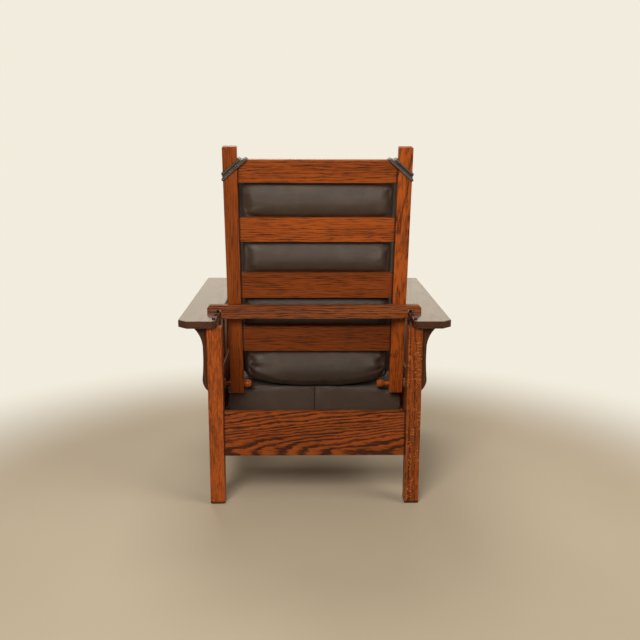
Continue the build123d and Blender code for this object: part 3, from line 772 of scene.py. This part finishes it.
seam_pitch, seam_lip, seam_sunk = 0.006, 0.0016, -0.0004
seam_groove, groove_width = 0.0025, 0.007
stitch_width, stitch_set = 0.0011, 0.007
low_seam_middle = seat_panel_middle + seat_up * 0.005
joint_across, joint_set = -0.002, 0.006
top_edge = seat_cover.shoulder(seat_panel_middle, seat_right, seat_forward, low=0.04, high=0.125)
top_seam = even_places(top_edge, seam_pitch)
low_seam = even_places(seat_cover.seam(low_seam_middle, seat_right, seat_forward), seam_pitch)
joint_low = deck_rear + seat_right * joint_across
boxing_joint = seat_cover.upward(joint_low, seat_forward, seat_up, low=0.006, high=0.094, pitch=0.004)
draw_in(seat_cover, [top_seam, low_seam], seam_groove, groove_width, pucker=0.0007, pucker_reach=0.02,
        seed=1)
draw_in(seat_cover, [boxing_joint], groove=0.003, groove_width=0.008, pucker=0.0, pucker_reach=0.01,
        seed=5)
for seam_name, seam in (("top", top_seam), ("low", low_seam)):
    pipe(f"seat_{seam_name}_seam", seat_cover.filled(seam, seam_sunk), seam_lip, "frame", seam_leather)
# The rear joint's seam carries painted shade.
pipe("seat_joint_seam", seat_cover.filled(boxing_joint, 0.0), seam_lip, "frame", joint_shade_leather,
     closed=False)
sew("seat_top_stitches", beside(seat_cover, seat_cover.filled(top_seam), -stitch_set), stitch_width,
    "frame", thread)
for row_name, shift in (("near", joint_set), ("far", -joint_set)):
    row_low = deck_rear + seat_right * (shift + joint_across)
    row = seat_cover.upward(row_low, seat_forward, seat_up, low=0.008, high=0.09, pitch=0.0045)
    sew(f"seat_joint_stitches_{row_name}", seat_cover.filled(row, stitch_lift), stitch_width, "frame",
        thread)
finish_skin(seat_cushion, lit_seat_leather)
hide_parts("seat_cushion")
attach(seat_cushion, "frame")

# Back frame: two long stiles with four slats tenoned between them, in the same oak as the legs.
# It leans back by about ten degrees.
back_lean = math.radians(9.6)
up_back = Vector((0, math.sin(back_lean), math.cos(back_lean)))
behind_back = Vector((0, math.cos(back_lean), -math.sin(back_lean)))
saw_board("back_stile_right", up_back, behind_back, pith=(0.0, -0.045), seed=40, tone=0.98,
          ring=0.008, wander=0.05, depth=0.52, lean=3, dive=4)
saw_board("back_stile_left", up_back, behind_back, pith=(0.12, -0.06), seed=41, tone=0.66, depth=0.25,
          pores=0.8, lean=1)
stile_inner = 0.237
for slat_number, slat_tone in ((1, 0.48), (2, 0.58), (3, 0.9), (4, 0.76)):
    saw_board(f"back_slat_{slat_number}", crosswise, behind_back,
              pith=(0.02 * slat_number - 0.14, -0.07), seed=41 + slat_number, tone=slat_tone,
              ring=0.0055, wander=0.02, lean=1, dive=1.5, depth=0.45, pores=0.85, shown=stile_inner)

# Pivot pegs and washers: turned oak pegs with a round knob, pushed through the stiles into the
# side rails, with a thick washer on each.
pale_washer = (0.16, 0.055, 0.02, 1)
dark_washer = (0.07, 0.025, 0.01, 1)
for side_name in ("left", "right"):
    saw_board(f"pivot_peg_{side_name}", crosswise, (0, 1, 0), pith=(0.02, -0.05), seed=50, ring=0.004)
    saw_board(f"pivot_washer_{side_name}", upright, (1, 0, 0), pith=(0.02, -0.05), seed=52,
              pale=pale_washer, dark=dark_washer, ring=0.004)

# Back cushion: the same leather, boxed and crowned in front. It rests on the slats, swells a
# little between them, and its tail hangs rounded between the pegs.
stile_front, slat_front, slat_gap = 0.028, 0.023, 0.0006
back_rear_low = Vector((-0.008, 0.185, 0.323)) - up_back * 0.028 + behind_back * 0.014
gap_spans = ((0.012, 0.147), (0.230, 0.3277), (0.4077, 0.5083), (0.5823, 0.689))
gap_swells = (0.021, 0.017, 0.016, 0.016)
tail_share, tail_until, tail_from = 0.9, 0.03, 0.13
swell_until, swell_ends = 0.19, 0.225
fold_out, fold_reach, rear_depth = 0.226, 0.045, 0.05
slot_rear, slot_deep, slot_from, slot_full = 0.002, 0.07, 0.216, 0.24
shade_from, shade_full, shade_until = 0.217, 0.229, 0.236
shade_deep, shade_deepest = 0.07, 0.1
corner_folds = (
    (1, 0.09, 0.0035, 0.4), (-1, 0.085, 0.004, 2.1), (1, 0.135, 0.002, 1.0), (-1, 0.13, 0.002, 0.2),
    (1, 0.32, 0.001, 2.6), (-1, 0.315, 0.0012, 1.4), (1, 0.5, 0.0015, 0.8), (-1, 0.495, 0.0015, 3.0),
    (1, 0.595, 0.0018, 1.9), (-1, 0.675, 0.0018, 0.5), (-1, 0.595, 0.0012, 2.4), (1, 0.42, 0.001, 0.1),
)


def stile_slot_shade(tree, position):
    """A mask of painted shade in the deep slots along the inner edges of the stiles, on the cushion's
    rear.
    """
    place = put(tree, "ShaderNodeSeparateXYZ")
    feed(tree, place.inputs[0], position)
    from_middle = reckon(tree, "SUBTRACT", place.outputs["X"], back_rear_low.x)
    across = reckon(tree, "ABSOLUTE", from_middle)
    depth = put(tree, "ShaderNodeVectorMath", operation="DOT_PRODUCT")
    feed(tree, depth.inputs[0], position)
    depth.inputs[1].default_value = -behind_back
    inside = reckon(tree, "SUBTRACT", depth.outputs["Value"], -back_rear_low.dot(behind_back))
    begins = fade(tree, across, shade_from, shade_full)
    ends = fade(tree, across, shade_full, shade_until, 1.0, 0.0)
    band = reckon(tree, "MULTIPLY", begins, ends)
    near_rear = fade(tree, inside, shade_deep, shade_deepest, 1.0, 0.0)
    return reckon(tree, "MULTIPLY", band, near_rear)


# The cushion's leather carries painted shade in the slots beside the stiles.
cushion_leather = tan_leather("cushion leather", hide_brown, rubbed_brown, hide_cells, raised=0.0004,
                              shade_mask=stile_slot_shade)
back_cushion = cut_cover("back_cushion", "back_cushion_cover", cover_face)
back_cover = Cover(back_cushion)
fill_cover(back_cushion)
for vertex, before in zip(back_cushion.data.vertices, back_cover.cut):
    # The tail hangs hardly lower than it was cut.
    hanging = tail_share * (1 - eased((before - back_rear_low).dot(up_back), tail_until, tail_from))
    vertex.co += up_back * hanging * min(0.0, (before - vertex.co).dot(up_back))
    offset = vertex.co - back_rear_low
    up, depth, across = offset.dot(up_back), -offset.dot(behind_back), abs(offset.x)
    # The rear lies on the slats and swells between them.
    least = slat_front + slat_gap
    for (low, high), swell in zip(gap_spans, gap_swells):
        if low < up < high:
            sag = math.sin(math.pi * ((high - up) / (high - low)) ** 1.35) ** 0.75
            least -= swell * sag * (1 - eased(across, swell_until, swell_ends))
    # Folds fan out from the corners of each swell.
    if depth < rear_depth:
        for side, height, fold, turned in corner_folds:
            beyond = Vector((side * offset.x - fold_out, up - height))
            reach = beyond.length / fold_reach
            angle = math.atan2(beyond.y, -beyond.x)
            fan = 1 + math.cos(7 * angle + turned)
            least += fold * 2.2 * reach * math.exp(-1.3 * reach * reach) * fan
    # A deep slot is left beside each stile.
    least = max(least, slot_rear + slot_deep * eased(across, slot_from, slot_full))
    vertex.co += behind_back * (depth - max(depth, least))

back_middle = back_rear_low + up_back * 0.4
back_right = Vector((1, 0, 0))
rear_seam_middle = back_middle - behind_back * 0.062
front_seam_middle = back_middle - behind_back * 0.108
rear_seam = even_places(back_cover.seam(rear_seam_middle, back_right, up_back), seam_pitch)
front_seam = even_places(back_cover.seam(front_seam_middle, back_right, up_back), seam_pitch)
draw_in(back_cover, [rear_seam, front_seam], seam_groove, groove_width, pucker=0.0018,
        pucker_reach=0.035, seed=2)
for seam_name, seam in (("rear", rear_seam), ("front", front_seam)):
    pipe(f"back_{seam_name}_seam", back_cover.filled(seam, seam_sunk), seam_lip, "back", seam_leather)
sew("back_front_stitches", beside(back_cover, back_cover.filled(front_seam), stitch_set), stitch_width,
    "back", thread)
finish_skin(back_cushion, cushion_leather)
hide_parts("back_cushion")
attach(back_cushion, "back")

# Cushion straps: flat leather straps with two stitched ribs, sewn to the cushion's top. Each is
# laid over the top slat, slants down across the stile and folds round the stile's outer edge.
strap_brown, rubbed_strap = (0.035, 0.022, 0.016, 1), (0.075, 0.051, 0.038, 1)
strap_leather = tan_leather("strap leather", strap_brown, rubbed_strap, cells=900.0, raised=0.0003)
strap_slant = math.radians(41)
strap_width, strap_thick, strap_gap, strap_bend = 0.02, 0.003, 0.0004, 0.005
strap_tuck, strap_return = 0.024, 0.012
stile_outer, top_slat_high = 0.279, 0.757
strap_ribs = [
    (0.0, 0.35), (0.05, 1.0), (0.16, 1.5), (0.27, 1.35), (0.37, 0.6), (0.5, 0.4),
    (0.63, 0.6), (0.73, 1.35), (0.84, 1.5), (0.95, 1.0), (1.0, 0.35),
]
rib_tops = (2, 8)
strap_stitch_pitch, strap_stitch_width = 0.004, 0.0012
pale_thread = (0.2, 0.15, 0.11, 1)
strap_thread = spin_thread("strap thread", toned(pale_thread, 0.6), pale_thread)


def strap_edge(share):
    """Corners of the strap's path at a share of its width, as places across, up and forward. It
    starts tucked down in front of the top slat and ends a little way in on the stile's front."""
    outer = stile_outer + strap_gap
    high = top_slat_high + strap_gap
    inner = stile_inner - strap_gap - strap_width / math.sin(strap_slant)
    low = high - (outer - inner) * math.tan(strap_slant)
    over = inner + share * strap_width / math.sin(strap_slant)
    down = low + share * strap_width / math.cos(strap_slant)
    rear, front = -strap_gap, stile_front + strap_gap
    return [
        Vector((over, high - strap_tuck, front)), Vector((over, high, front)),
        Vector((over, high, rear)), Vector((outer, down, rear)), Vector((outer, down, front)),
        Vector((outer - strap_return, down, front)),
    ]


def bent(corners, radius, steps):
    """The path through the corners with each one rounded, and as many places on every path."""
    path = [corners[0]]
    for before, corner, after in zip(corners, corners[1:], corners[2:]):
        start = corner + (before - corner).normalized() * radius
        end = corner + (after - corner).normalized() * radius
        path += [path[-1].lerp(start, share) for share in (0.25, 0.5, 0.75)]
        for step in range(steps + 1):
            share = step / steps
            path.append(start.lerp(corner, share).lerp(corner.lerp(end, share), share))
    return path + [path[-1].lerp(corners[-1], 0.5), corners[-1]]


for side_name, side in (("left", 1), ("right", -1)):
    # One path along the strap for each place across its width.
    paths = []
    for share, _ in strap_ribs:
        path = bent(strap_edge(share), strap_bend, steps=5)
        paths.append([
            back_rear_low + Vector((side * place.x, 0, 0)) + up_back * place.y - behind_back * place.z
            for place in path
        ])
    # The outside rises over both ribs, and the inside lies flat on the wood.
    made = bmesh.new()
    outside, inside = [], []
    last = len(paths[0]) - 1
    for column, (path, (_, rise)) in enumerate(zip(paths, strap_ribs)):
        wider, narrower = paths[min(column + 1, len(paths) - 1)], paths[max(column - 1, 0)]
        raised = []
        for row, place in enumerate(path):
            along = path[min(row + 1, last)] - path[max(row - 1, 0)]
            outward = along.cross(wider[row] - narrower[row]).normalized() * -side
            raised.append(made.verts.new(place + outward * strap_thick * rise))
        outside.append(raised)
        inside.append([made.verts.new(place) for place in path])
    # A row of stitches runs along the top of each rib.
    for column in rib_tops:
        rib = [vertex.co.copy() for vertex in outside[column]]
        line = even_places(rib, strap_stitch_pitch, closed=False)
        middle = sum(line, Vector()) / len(line) - up_back * 0.01 - behind_back * 0.015
        row = [(place, (place - middle).normalized()) for place in line]
        sew(f"strap_stitches_{side_name}_{column}", row, strap_stitch_width, "back", strap_thread)
    ring = outside + inside[::-1]
    for first, second in zip(ring, ring[1:] + ring[:1]):
        for row in range(last):
            made.faces.new((first[row], first[row + 1], second[row + 1], second[row]))
    for row in (0, last):
        for column in range(len(strap_ribs) - 1):
            strips = outside[column], outside[column + 1], inside[column + 1], inside[column]
            made.faces.new([strip[row] for strip in strips])
    bmesh.ops.recalc_face_normals(made, faces=made.faces)
    data = bpy.data.meshes.new(f"strap_{side_name}")
    made.to_mesh(data)
    made.free()
    strap = bpy.data.objects.new(f"strap_{side_name}", data)
    bpy.context.scene.collection.objects.link(strap)
    finish_skin(strap, strap_leather)
    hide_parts(f"cushion_strap_{side_name}")
    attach(strap, "back")

# Recline bar: a stick of the arms' dark oak with a thinner tongue at each end. It lies loose on the
# arms, where the dowel buttons stop it, and holds the back up.
pale_bar = (0.26, 0.068, 0.015, 1)
dark_bar = (0.04, 0.012, 0.006, 1)
saw_board("recline_bar", crosswise, (0, 1, 0), pith=(0.09, -0.05), seed=60, pale=pale_bar,
          dark=dark_bar, wander=0.02, depth=0.6, pores=1.0)
